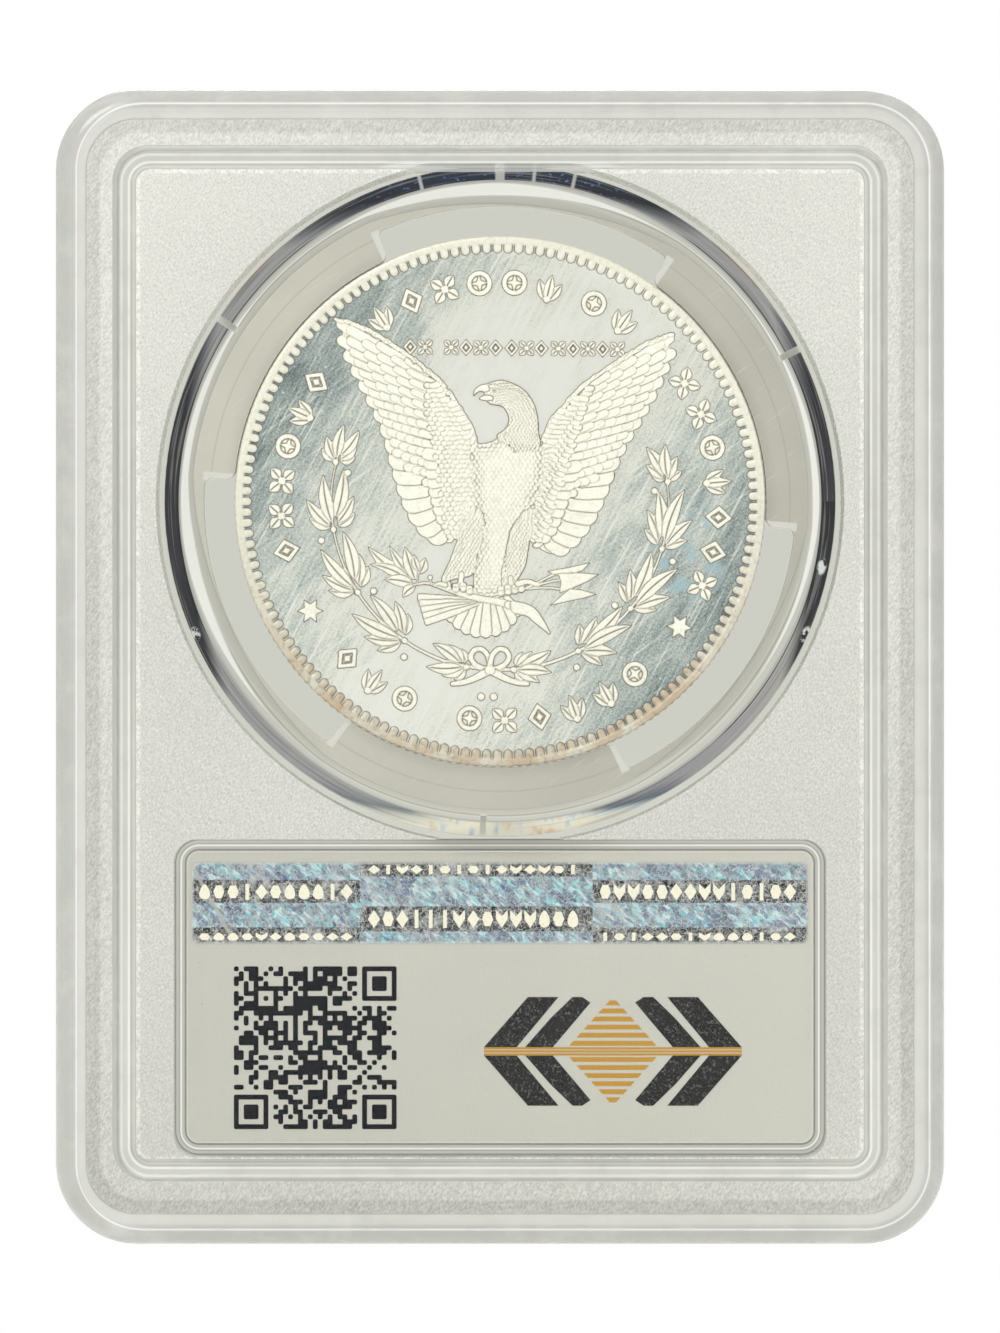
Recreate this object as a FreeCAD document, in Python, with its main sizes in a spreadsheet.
"""Graded coin slab: a sealed clear holder with a silver-dollar-size coin, as a parametric document.

The holder stands on its bottom edge. X runs across its width, Z up its height and Y through its
thickness. The rear face, which shows the coin's reverse and the back of the label, looks towards -Y.
The origin is the middle of the bottom edge. Both half shells meet at the plane Y = 0.
"""
import FreeCAD, Part
import math
import os

import Sketcher

DRIVING_DIMENSIONS = [
    # overall size of the sealed holder
    ("slab_width", 63.5),
    ("slab_height", 82.55),
    ("slab_corner", 5.8),
    ("rear_depth", 4.0),
    ("front_depth", 3.1),
    ("weld_gap", 0.01),
    ("seam_chamfer", 0.12),
    ("rear_rim_round", 1.5),
    ("front_rim_round", 1.2),
    # hollow inside the shells
    ("wall_width", 3.2),
    ("hollow_corner", 3.0),
    ("cavity_half", 1.9),
    # stepped recess of the rear face, and the stacking ridge of the front face that fits it
    ("grain_inset", 2.2),
    ("grain_corner", 3.8),
    ("grain_depth", 0.06),
    ("bottom_extra", 0.45),
    ("recess_inset", 4.2),
    ("recess_corner", 2.4),
    ("channel_inset", 4.5),
    ("channel_corner", 2.1),
    ("channel_level", 2.9),
    ("island_inset", 5.3),
    ("island_corner", 1.35),
    ("panel_inset", 5.65),
    ("panel_corner", 1.0),
    ("panel_level", 3.1),
    ("ridge_level", 4.0),
    ("ridge_gap", 0.1),
    ("ridge_round", 0.15),
    ("ridge_width", 0.9),
    ("mouth_round", 0.25),
    ("panel_round", 0.12),
    # round seat of the gasket
    ("coin_height", 53.1),
    ("seat_radius", 24.05),
    ("seat_wall", 1.0),
    # pocket of the label
    ("pocket_width", 45.0),
    ("pocket_bottom", 7.05),
    ("pocket_top", 28.05),
    ("pocket_corner", 0.9),
    ("pocket_wall", 0.85),
    ("pocket_half", 0.3),
    # welded bead in its groove
    ("bead_inset", 0.9),
    ("bead_width", 0.55),
    ("bead_half", 0.25),
    ("bead_side_gap", 0.02),
    # coin gasket
    ("gasket_radius", 24.0),
    ("gasket_half", 1.85),
    ("rail_radius", 23.0),
    ("bevel_radius", 22.05),
    ("web_half", 1.2),
    ("pad_radius", 19.1),
    ("opening_radius", 21.25),
    ("opening_overcut", 0.5),
    ("opening_angle", 59.4),
    ("opening_round", 0.6),
    ("pad_tip_round", 0.7),
    ("pad_count", 3),
    ("gasket_angle", 25.0),
    ("notch_lead_angle", 2.0),
    ("notch_width", 0.45),
    ("notch_depth", 0.9),
    # coin; its field lies at the mean level of field and relief, which gives it its true volume
    ("coin_radius", 19.05),
    ("coin_half", 1.2),
    ("coin_rim_width", 0.35),
    ("coin_field_depth", 0.08),
    ("coin_rim_draft", 0.1),
    ("reed_count", 189),
    ("reed_radius", 0.2),
    ("reed_depth", 0.11),
    # label and its foil strip
    ("card_width", 44.8),
    ("card_height", 20.8),
    ("card_half", 0.2),
    ("card_corner", 0.8),
    ("foil_width", 44.2),
    ("foil_height", 5.8),
    ("foil_below_top", 0.75),
    ("foil_thickness", 0.04),
    ("foil_corner", 0.5),
]

TOLERANCE = 1e-4
TOWARDS_REAR = FreeCAD.Vector(0, -1, 0)

document = FreeCAD.newDocument("GradedCoinSlab")


# ---------------------------------------------------------------- the sheet of driving dimensions
def make_sheet():
    """Writes every driving dimension as one row: its name in column A, its value in column B."""
    sheet = document.addObject("Spreadsheet::Sheet", "Dimensions")
    for row, (alias, value) in enumerate(DRIVING_DIMENSIONS, start=1):
        sheet.set(f"A{row}", alias)
        sheet.set(f"B{row}", str(value))
        sheet.setAlias(f"B{row}", alias)
    document.recompute()
    return sheet


SHEET = make_sheet()


def cells(text):
    """Turns bare dimension names into references to the sheet's cells."""
    words = {alias for alias, _ in DRIVING_DIMENSIONS}
    out = []
    for token in text.replace("(", " ( ").replace(")", " ) ").split():
        out.append(f"Dimensions.{token}" if token in words else token)
    return " ".join(out)


def value(text):
    """The present value of an expression in dimension names."""
    return float(SHEET.evalExpression(cells(text)))


# ---------------------------------------------------------------- bodies, sketches and features
def make_body(label):
    body = document.addObject("PartDesign::Body", label)
    body.Label = label
    return body


def origin_feature(body, role):
    for feature in body.Origin.OriginFeatures:
        if feature.Role == role:
            return feature
    raise ValueError(f"no origin feature {role}")


def make_sketch(body, name, level="0"):
    """A sketch parallel to the parting plane. A positive level lies towards the rear (-Y)."""
    sketch = body.newObject("Sketcher::SketchObject", name)
    sketch.AttachmentSupport = [(origin_feature(body, "XZ_Plane"), "")]
    sketch.MapMode = "FlatFace"
    sketch.setExpression("AttachmentOffset.Base.z", cells(level))
    return sketch


def bind(sketch, constraint, name, text):
    """Adds a dimension constraint and ties it to an expression in dimension names."""
    index = sketch.addConstraint(constraint)
    sketch.renameConstraint(index, name)
    sketch.setExpression(f"Constraints.{name}", cells(text))


def add_rounded_rectangle(sketch, tag, half_width, bottom, top, corner):
    """A rounded rectangle centred on X = 0, given as expressions in dimension names."""
    x, low, high, radius = (value(text) for text in (half_width, bottom, top, corner))
    point = FreeCAD.Vector

    def line(x0, z0, x1, z1):
        return sketch.addGeometry(Part.LineSegment(point(x0, z0, 0), point(x1, z1, 0)))

    def arc(cx, cz, start):
        circle = Part.Circle(point(cx, cz, 0), point(0, 0, 1), radius)
        return sketch.addGeometry(Part.ArcOfCircle(circle, start, start + math.pi / 2))

    sides = [
        line(-x + radius, low, x - radius, low),
        line(x, low + radius, x, high - radius),
        line(x - radius, high, -x + radius, high),
        line(-x, high - radius, -x, low + radius),
    ]
    corners = [
        arc(x - radius, low + radius, -math.pi / 2),
        arc(x - radius, high - radius, 0),
        arc(-x + radius, high - radius, math.pi / 2),
        arc(-x + radius, low + radius, math.pi),
    ]
    for number in range(4):
        following = sides[(number + 1) % 4]
        sketch.addConstraint(Sketcher.Constraint("Tangent", sides[number], 2, corners[number], 1))
        sketch.addConstraint(Sketcher.Constraint("Tangent", corners[number], 2, following, 1))
    for side, kind in zip(sides, ("Horizontal", "Vertical", "Horizontal", "Vertical")):
        sketch.addConstraint(Sketcher.Constraint(kind, side))
    for corner_index in corners[1:]:
        sketch.addConstraint(Sketcher.Constraint("Equal", corners[0], corner_index))
    constraint = Sketcher.Constraint
    bind(sketch, constraint("Radius", corners[0], radius), f"{tag}_corner", corner)
    bind(sketch, constraint("DistanceX", -1, 1, sides[1], 1, x), f"{tag}_right", half_width)
    bind(sketch, constraint("DistanceX", sides[3], 1, -1, 1, x), f"{tag}_left", half_width)
    bind(sketch, constraint("DistanceY", -1, 1, sides[0], 1, low), f"{tag}_bottom", bottom)
    bind(sketch, constraint("DistanceY", -1, 1, sides[2], 1, high), f"{tag}_top", top)


def add_inset_rectangle(sketch, tag, inset, bottom_inset, corner):
    """A rounded rectangle a given distance inside the holder's outline."""
    half_width = f"slab_width / 2 - ( {inset} )"
    top = f"slab_height - ( {inset} )"
    add_rounded_rectangle(sketch, tag, half_width, bottom_inset, top, corner)


def add_circle(sketch, tag, radius, height="0"):
    """A circle on the Z axis of the sketch plane."""
    centre = FreeCAD.Vector(0, value(height), 0)
    up = FreeCAD.Vector(0, 0, 1)
    index = sketch.addGeometry(Part.Circle(centre, up, value(radius)))
    constraint = Sketcher.Constraint
    sketch.addConstraint(constraint("PointOnObject", index, 3, -2))
    bind(sketch, constraint("Radius", index, value(radius)), f"{tag}_radius", radius)
    if value(height) == 0:
        sketch.addConstraint(constraint("PointOnObject", index, 3, -1))
    else:
        bind(sketch, constraint("DistanceY", -1, 1, index, 3, centre.y), f"{tag}_height", height)


def add_feature(body, kind, name, sketch, length=None, towards_rear=True):
    """A pad or pocket. Its direction is given as towards the rear (-Y) or towards the front (+Y)."""
    feature = body.newObject(f"PartDesign::{kind}", name)
    feature.Profile = sketch
    pad = kind == "Pad"
    feature.Reversed = (not towards_rear) if pad else towards_rear
    if length:
        feature.setExpression("Length", cells(length))
    recompute_checked(body, name, grows=pad)
    return feature


def add_loft(body, kind, name, first, second):
    """A drafted solid between two parallel outlines, added or cut."""
    loft = body.newObject(f"PartDesign::{kind}", name)
    loft.Profile = first
    loft.Sections = [(second, [""])]
    loft.Ruled = True
    recompute_checked(body, name, grows=kind.startswith("Additive"))
    return loft


body_volumes = {}


def recompute_checked(body, name, grows):
    """Recomputes, then makes sure that a feature really added or removed material."""
    before = body_volumes.get(body.Name, 0.0)
    document.recompute()
    after = body.Shape.Volume
    changed = after > before if grows else after < before
    if not changed:
        raise RuntimeError(f"{body.Label}.{name} changed nothing: {before} to {after} mm3")
    body_volumes[body.Name] = after


def edges_where(shape, test):
    """Names of the edges that pass a test, as a dress-up feature wants them."""
    return [f"Edge{number}" for number, edge in enumerate(shape.Edges, start=1) if test(edge)]


def add_dress_up(body, kind, name, edge_names, size):
    """A fillet or chamfer on named edges of the body's present shape."""
    base = body.Tip
    feature = body.newObject(f"PartDesign::{kind}", name)
    feature.Base = (base, edge_names)
    feature.setExpression("Radius" if kind == "Fillet" else "Size", cells(size))
    document.recompute()
    if "Invalid" in feature.State:
        raise RuntimeError(f"{body.Label}.{name} failed on {len(edge_names)} edges")
    body_volumes[body.Name] = body.Shape.Volume
    return feature


def lies_at_level(edge, level):
    """True for an edge in the plane Y = level."""
    box = edge.BoundBox
    return max(abs(box.YMin - level), abs(box.YMax - level)) < TOLERANCE


def on_outline(edge):
    """True for an edge on the outside of the holder, seen square on."""
    half_width = value("slab_width / 2")
    height = value("slab_height")
    corner = value("slab_corner")
    middle = edge.valueAt((edge.FirstParameter + edge.LastParameter) / 2)
    across = abs(middle.x)
    from_end = min(middle.z, height - middle.z)
    if across > half_width - corner and from_end < corner:
        reach = math.hypot(across - (half_width - corner), corner - from_end)
        return abs(reach - corner) < TOLERANCE
    return min(half_width - across, from_end) < TOLERANCE


def inside_inset(edge, inset):
    """True for an edge that stays at least an inset inside the holder's sides."""
    box = edge.BoundBox
    slack = value("mouth_round")
    beside = value("slab_width / 2") - max(abs(box.XMin), abs(box.XMax))
    above = value("slab_height") - box.ZMax
    return min(beside, above, box.ZMin) > value(inset) - slack


# ---------------------------------------------------------------- what both half shells share
def add_half_shell_block(body, depth, towards_rear):
    """The outer block of a half shell, from the parting plane to its outer face."""
    side = 1 if towards_rear else -1
    outline = make_sketch(body, f"{body.Label}_outline", f"{side} * weld_gap")
    add_inset_rectangle(outline, "slab", "0", "0", "slab_corner")
    add_feature(body, "Pad", f"{body.Label}_block", outline, f"{depth} - weld_gap", towards_rear)


def round_outer_edges(body, depth, rim_round, towards_rear):
    """Rounds the rim of the outer face and breaks the edge at the seam."""
    side = -1 if towards_rear else 1
    rim_level = side * value(depth)
    seam_level = side * value("weld_gap")
    rim = edges_where(body.Shape, lambda e: lies_at_level(e, rim_level) and on_outline(e))
    add_dress_up(body, "Fillet", f"{body.Label}_rim", rim, rim_round)
    seam = edges_where(body.Shape, lambda e: lies_at_level(e, seam_level) and on_outline(e))
    add_dress_up(body, "Chamfer", f"{body.Label}_seam", seam, "seam_chamfer")


def add_interior(body, towards_rear):
    """Hollows a half shell, then adds the gasket's seat wall, the label pocket and the bead groove."""
    side = 1 if towards_rear else -1
    name = body.Label
    seam = f"{side} * weld_gap"
    cavity_depth = "cavity_half - weld_gap"

    hollow = make_sketch(body, f"{name}_hollow_outline", seam)
    add_inset_rectangle(hollow, "hollow", "wall_width", "wall_width", "hollow_corner")
    add_feature(body, "Pocket", f"{name}_hollow", hollow, cavity_depth, towards_rear)

    block = make_sketch(body, f"{name}_pocket_block_outline", seam)
    add_rounded_rectangle(
        block,
        "block",
        "pocket_width / 2 + pocket_wall",
        "pocket_bottom - pocket_wall",
        "pocket_top + pocket_wall",
        "pocket_corner + pocket_wall",
    )
    add_feature(body, "Pad", f"{name}_pocket_block", block, cavity_depth, towards_rear)

    wall = make_sketch(body, f"{name}_seat_wall_outline", seam)
    add_circle(wall, "wall", "seat_radius + seat_wall", "coin_height")
    add_feature(body, "Pad", f"{name}_seat_wall", wall, cavity_depth, towards_rear)

    seat = make_sketch(body, f"{name}_seat_outline", seam)
    add_circle(seat, "seat", "seat_radius", "coin_height")
    add_feature(body, "Pocket", f"{name}_seat", seat, cavity_depth, towards_rear)

    pocket = make_sketch(body, f"{name}_label_pocket_outline", seam)
    add_rounded_rectangle(
        pocket, "pocket", "pocket_width / 2", "pocket_bottom", "pocket_top", "pocket_corner"
    )
    add_feature(
        body, "Pocket", f"{name}_label_pocket", pocket, "pocket_half - weld_gap", towards_rear
    )

    groove = make_sketch(body, f"{name}_bead_groove_outline", seam)
    outer = "bead_inset - bead_side_gap"
    inner = "bead_inset + bead_width + bead_side_gap"
    add_inset_rectangle(groove, "outer", outer, outer, f"slab_corner - ( {outer} )")
    add_inset_rectangle(groove, "inner", inner, inner, f"slab_corner - ( {inner} )")
    add_feature(
        body, "Pocket", f"{name}_bead_groove", groove, "bead_half - weld_gap", towards_rear
    )


# ---------------------------------------------------------------- rear shell
def make_rear_shell():
    """Rear half: rounded rim, grained band, stepped recess with a stacking channel, raised panel."""
    body = make_body("rear_shell")
    add_half_shell_block(body, "rear_depth", towards_rear=True)
    round_outer_edges(body, "rear_depth", "rear_rim_round", towards_rear=True)

    grain = make_sketch(body, "rear_grain_outline", "rear_depth")
    add_inset_rectangle(grain, "grain", "grain_inset", "grain_inset", "grain_corner")
    add_feature(body, "Pocket", "rear_grain_band", grain, "grain_depth", towards_rear=False)

    mouth = make_sketch(body, "recess_mouth", "rear_depth")
    add_inset_rectangle(
        mouth, "mouth", "recess_inset", "recess_inset + bottom_extra", "recess_corner"
    )
    floor = make_sketch(body, "recess_floor", "channel_level")
    add_inset_rectangle(
        floor, "floor", "channel_inset", "channel_inset + bottom_extra", "channel_corner"
    )
    add_loft(body, "SubtractiveLoft", "recess", mouth, floor)

    mouth_level = value("grain_depth") - value("rear_depth")
    mouth_edges = edges_where(
        body.Shape, lambda e: lies_at_level(e, mouth_level) and inside_inset(e, "recess_inset")
    )
    add_dress_up(body, "Fillet", "recess_mouth_edge", mouth_edges, "mouth_round")

    base = make_sketch(body, "panel_base", "channel_level")
    add_inset_rectangle(
        base, "base", "island_inset", "island_inset + bottom_extra", "island_corner"
    )
    face = make_sketch(body, "panel_face", "panel_level")
    add_inset_rectangle(
        face, "face", "panel_inset", "panel_inset + bottom_extra", "panel_corner"
    )
    add_loft(body, "AdditiveLoft", "panel", base, face)
    panel_level = -value("panel_level")
    panel_edges = edges_where(body.Shape, lambda e: lies_at_level(e, panel_level))
    add_dress_up(body, "Fillet", "panel_edge", panel_edges, "panel_round")

    add_interior(body, towards_rear=True)
    return body


# ---------------------------------------------------------------- front shell
def make_front_shell():
    """Front half: a flat face with a low stacking ridge that fits the next holder's channel."""
    body = make_body("front_shell")
    add_half_shell_block(body, "front_depth", towards_rear=False)
    round_outer_edges(body, "front_depth", "front_rim_round", towards_rear=False)

    base = make_sketch(body, "ridge_outline", "-1 * front_depth")
    outer = "channel_inset + ridge_gap"
    inner = "channel_inset + ridge_gap + ridge_width"
    add_inset_rectangle(base, "outer", outer, f"{outer} + bottom_extra", "channel_corner")
    add_inset_rectangle(
        base, "inner", inner, f"{inner} + bottom_extra", "channel_corner - ridge_width"
    )
    add_feature(
        body, "Pad", "stacking_ridge", base, "ridge_level - front_depth", towards_rear=False
    )
    ridge_level = value("ridge_level")
    crest = edges_where(body.Shape, lambda e: lies_at_level(e, ridge_level))
    add_dress_up(body, "Fillet", "ridge_crest", crest, "ridge_round")

    add_interior(body, towards_rear=False)
    return body


# ---------------------------------------------------------------- weld bead
def make_weld_bead():
    """The ring of fused plastic that seals the two shells, in the groove that they share."""
    body = make_body("weld_bead")
    outline = make_sketch(body, "bead_outline", "bead_half")
    outer = "bead_inset"
    inner = "bead_inset + bead_width"
    add_inset_rectangle(outline, "outer", outer, outer, f"slab_corner - ( {outer} )")
    add_inset_rectangle(outline, "inner", inner, inner, f"slab_corner - ( {inner} )")
    add_feature(body, "Pad", "bead", outline, "2 * bead_half", towards_rear=False)
    return body


# ---------------------------------------------------------------- coin gasket
def polygon_sketch(body, name, points):
    """A closed half profile in the XY plane, turned about Y: points are (radius, y) expressions."""
    sketch = body.newObject("Sketcher::SketchObject", name)
    sketch.AttachmentSupport = [(origin_feature(body, "XY_Plane"), "")]
    sketch.MapMode = "FlatFace"
    corners = [FreeCAD.Vector(value(radius), value(y), 0) for radius, y in points]
    lines = []
    for start, end in zip(corners, corners[1:] + corners[:1]):
        lines.append(sketch.addGeometry(Part.LineSegment(start, end)))
    for number, line in enumerate(lines):
        following = lines[(number + 1) % len(lines)]
        sketch.addConstraint(Sketcher.Constraint("Coincident", line, 2, following, 1))
    constraint = Sketcher.Constraint
    for number, (radius, y) in enumerate(points):
        corner = corners[number]
        line = lines[number]
        if abs(corner.x) < TOLERANCE:
            sketch.addConstraint(constraint("PointOnObject", line, 1, -2))
        else:
            bind(sketch, constraint("DistanceX", -1, 1, line, 1, corner.x), f"r{number}_x", radius)
        if corner.y >= 0:
            bind(sketch, constraint("DistanceY", -1, 1, line, 1, corner.y), f"y{number}_up", y)
        else:
            down = f"-1 * ( {y} )"
            bind(sketch, constraint("DistanceY", line, 1, -1, 1, -corner.y), f"y{number}_down", down)
    return sketch


def add_revolution(body, name, sketch):
    revolution = body.newObject("PartDesign::Revolution", name)
    revolution.Profile = sketch
    revolution.ReferenceAxis = (sketch, ["V_Axis"])
    revolution.Angle = 360
    recompute_checked(body, name, grows=True)
    return revolution


def add_polar_pattern(body, name, feature, count):
    """Repeats a feature round the body's Y axis."""
    pattern = body.newObject("PartDesign::PolarPattern", name)
    pattern.Originals = [feature]
    pattern.Axis = (origin_feature(body, "Y_Axis"), [""])
    pattern.Angle = 360
    pattern.setExpression("Occurrences", cells(count))
    body.Tip = pattern
    document.recompute()
    body_volumes[body.Name] = body.Shape.Volume
    return pattern


def place_on_coin_axis(body, angle=None):
    """Moves a turned piece from its own axis to the coin's, turned by an angle as seen from the rear."""
    turn = value(angle) if angle else 0
    middle = FreeCAD.Vector(0, 0, value("coin_height"))
    body.Placement = FreeCAD.Placement(middle, FreeCAD.Rotation(TOWARDS_REAR, turn))
    body.setExpression("Placement.Base.z", cells("coin_height"))
    if angle:
        body.setExpression("Placement.Rotation.Angle", cells(angle))


def sector_sketch(body, name, level, inner, outer, middle_angle, spread):
    """An annular sector, its radii in dimension names and its angles in degrees."""
    sketch = make_sketch(body, name, level)
    start = math.radians(value(middle_angle) - value(spread) / 2)
    end = math.radians(value(middle_angle) + value(spread) / 2)
    origin = FreeCAD.Vector(0, 0, 0)
    up = FreeCAD.Vector(0, 0, 1)
    near = value(inner)
    far = value(outer)

    def at(radius, angle):
        return FreeCAD.Vector(radius * math.cos(angle), radius * math.sin(angle), 0)

    outer_arc = sketch.addGeometry(Part.ArcOfCircle(Part.Circle(origin, up, far), start, end))
    inner_arc = sketch.addGeometry(Part.ArcOfCircle(Part.Circle(origin, up, near), start, end))
    first = sketch.addGeometry(Part.LineSegment(at(near, start), at(far, start)))
    last = sketch.addGeometry(Part.LineSegment(at(near, end), at(far, end)))
    constraint = Sketcher.Constraint
    for arc in (outer_arc, inner_arc):
        sketch.addConstraint(constraint("Coincident", arc, 3, -1, 1))
    sketch.addConstraint(constraint("Coincident", first, 1, inner_arc, 1))
    sketch.addConstraint(constraint("Coincident", first, 2, outer_arc, 1))
    sketch.addConstraint(constraint("Coincident", last, 1, inner_arc, 2))
    sketch.addConstraint(constraint("Coincident", last, 2, outer_arc, 2))
    sketch.addConstraint(constraint("PointOnObject", -1, 1, first))
    sketch.addConstraint(constraint("PointOnObject", -1, 1, last))
    bind(sketch, constraint("Radius", outer_arc, far), "outer_radius", outer)
    bind(sketch, constraint("Radius", inner_arc, near), "inner_radius", inner)
    first_angle = f"( {middle_angle} - {spread} / 2 ) * 1deg"
    last_angle = f"( {middle_angle} + {spread} / 2 ) * 1deg"
    bind(sketch, constraint("Angle", -1, 1, first, 1, start), "start_angle", first_angle)
    bind(sketch, constraint("Angle", -1, 1, last, 1, end), "end_angle", last_angle)
    return sketch


def make_coin_gasket():
    """Clear insert that centres the coin: outer rail, bevel, web, three pads and three openings."""
    body = make_body("coin_gasket")
    profile = polygon_sketch(
        body,
        "gasket_profile",
        [
            ("pad_radius", "-1 * web_half"),
            ("bevel_radius", "-1 * web_half"),
            ("rail_radius", "-1 * gasket_half"),
            ("gasket_radius", "-1 * gasket_half"),
            ("gasket_radius", "gasket_half"),
            ("rail_radius", "gasket_half"),
            ("bevel_radius", "web_half"),
            ("pad_radius", "web_half"),
        ],
    )
    add_revolution(body, "gasket_ring", profile)

    opening_middle = "180 / pad_count"
    opening = sector_sketch(
        body,
        "opening_outline",
        "web_half",
        "pad_radius - opening_overcut",
        "opening_radius",
        opening_middle,
        "opening_angle",
    )
    cut = add_feature(body, "Pocket", "opening", opening, "2 * web_half", towards_rear=False)
    add_polar_pattern(body, "openings", cut, "pad_count")

    def upright_at(edge, radius):
        box = edge.BoundBox
        through = abs(box.YLength - 2 * value("web_half")) < TOLERANCE
        reach = math.hypot(box.Center.x, box.Center.z)
        thin = max(box.XLength, box.ZLength) < TOLERANCE
        return through and thin and abs(reach - value(radius)) < TOLERANCE

    corners = edges_where(body.Shape, lambda e: upright_at(e, "opening_radius"))
    add_dress_up(body, "Fillet", "opening_corners", corners, "opening_round")
    tips = edges_where(body.Shape, lambda e: upright_at(e, "pad_radius"))
    add_dress_up(body, "Fillet", "pad_tips", tips, "pad_tip_round")

    notch_spread = "notch_width / rail_radius * 180 / pi"
    for face, level, to_rear in (("rear", "gasket_half", False), ("front", "-1 * gasket_half", True)):
        notch = sector_sketch(
            body,
            f"{face}_notch_outline",
            level,
            "rail_radius - notch_width",
            "gasket_radius + notch_width",
            "notch_lead_angle",
            notch_spread,
        )
        cut = add_feature(body, "Pocket", f"{face}_notch", notch, "notch_depth", to_rear)
        add_polar_pattern(body, f"{face}_notches", cut, "pad_count")

    place_on_coin_axis(body, "gasket_angle")
    return body


# ---------------------------------------------------------------- coin
def make_coin():
    """Silver-dollar-size coin: raised rims, sunk fields on both faces and a reeded edge."""
    body = make_body("coin")
    rim_inner = "coin_radius - coin_rim_width"
    field_radius = "coin_radius - coin_rim_width - coin_rim_draft"
    field = "coin_half - coin_field_depth"
    profile = polygon_sketch(
        body,
        "coin_profile",
        [
            ("0", f"-1 * ( {field} )"),
            (field_radius, f"-1 * ( {field} )"),
            (rim_inner, "-1 * coin_half"),
            ("coin_radius", "-1 * coin_half"),
            ("coin_radius", "coin_half"),
            (rim_inner, "coin_half"),
            (field_radius, field),
            ("0", field),
        ],
    )
    add_revolution(body, "coin_blank", profile)

    reed = make_sketch(body, "reed_outline", "coin_half")
    centre = "coin_radius + reed_radius - reed_depth"
    add_circle(reed, "reed", "reed_radius", centre)
    cut = add_feature(body, "Pocket", "reed_groove", reed, "2 * coin_half", towards_rear=False)
    add_polar_pattern(body, "reeding", cut, "reed_count")
    place_on_coin_axis(body)
    return body


# ---------------------------------------------------------------- label card and foil strip
def make_label_card():
    """Printed card, loose in the label pocket."""
    body = make_body("label_card")
    outline = make_sketch(body, "card_outline", "card_half")
    middle = "( pocket_bottom + pocket_top ) / 2"
    add_rounded_rectangle(
        outline,
        "card",
        "card_width / 2",
        f"{middle} - card_height / 2",
        f"{middle} + card_height / 2",
        "card_corner",
    )
    add_feature(body, "Pad", "card", outline, "2 * card_half", towards_rear=False)
    return body


def make_hologram_strip():
    """Foil security strip stuck along the top of the card's rear face."""
    body = make_body("hologram_strip")
    outline = make_sketch(body, "foil_outline", "card_half")
    card_top = "( pocket_bottom + pocket_top ) / 2 + card_height / 2"
    foil_top = f"{card_top} - foil_below_top"
    add_rounded_rectangle(
        outline, "foil", "foil_width / 2", f"{foil_top} - foil_height", foil_top, "foil_corner"
    )
    add_feature(body, "Pad", "foil", outline, "foil_thickness", towards_rear=True)
    return body


# ---------------------------------------------------------------- build, check and write
def check_document():
    """Stops if any feature failed, because a recompute can fail without raising."""
    for item in document.Objects:
        failed = [word for word in item.State if word in ("Invalid", "Error")]
        if failed:
            raise RuntimeError(f"{item.Label} is {failed}")


def export(body):
    shape = body.Shape
    if shape.isNull() or not shape.isValid():
        raise RuntimeError(f"{body.Label} has no valid shape")
    shape.exportStep(f"parts/{body.Label}.step")
    box = shape.BoundBox
    size = f"{box.XLength:.3f} x {box.YLength:.3f} x {box.ZLength:.3f}"
    print(f"{body.Label}: {len(shape.Solids)} solid, {shape.Volume:.2f} mm3, {size} mm")


def main():
    bodies = [
        make_rear_shell(),
        make_front_shell(),
        make_weld_bead(),
        make_coin_gasket(),
        make_coin(),
        make_label_card(),
        make_hologram_strip(),
    ]
    document.recompute()
    check_document()
    os.makedirs("parts", exist_ok=True)
    for body in bodies:
        export(body)


main()
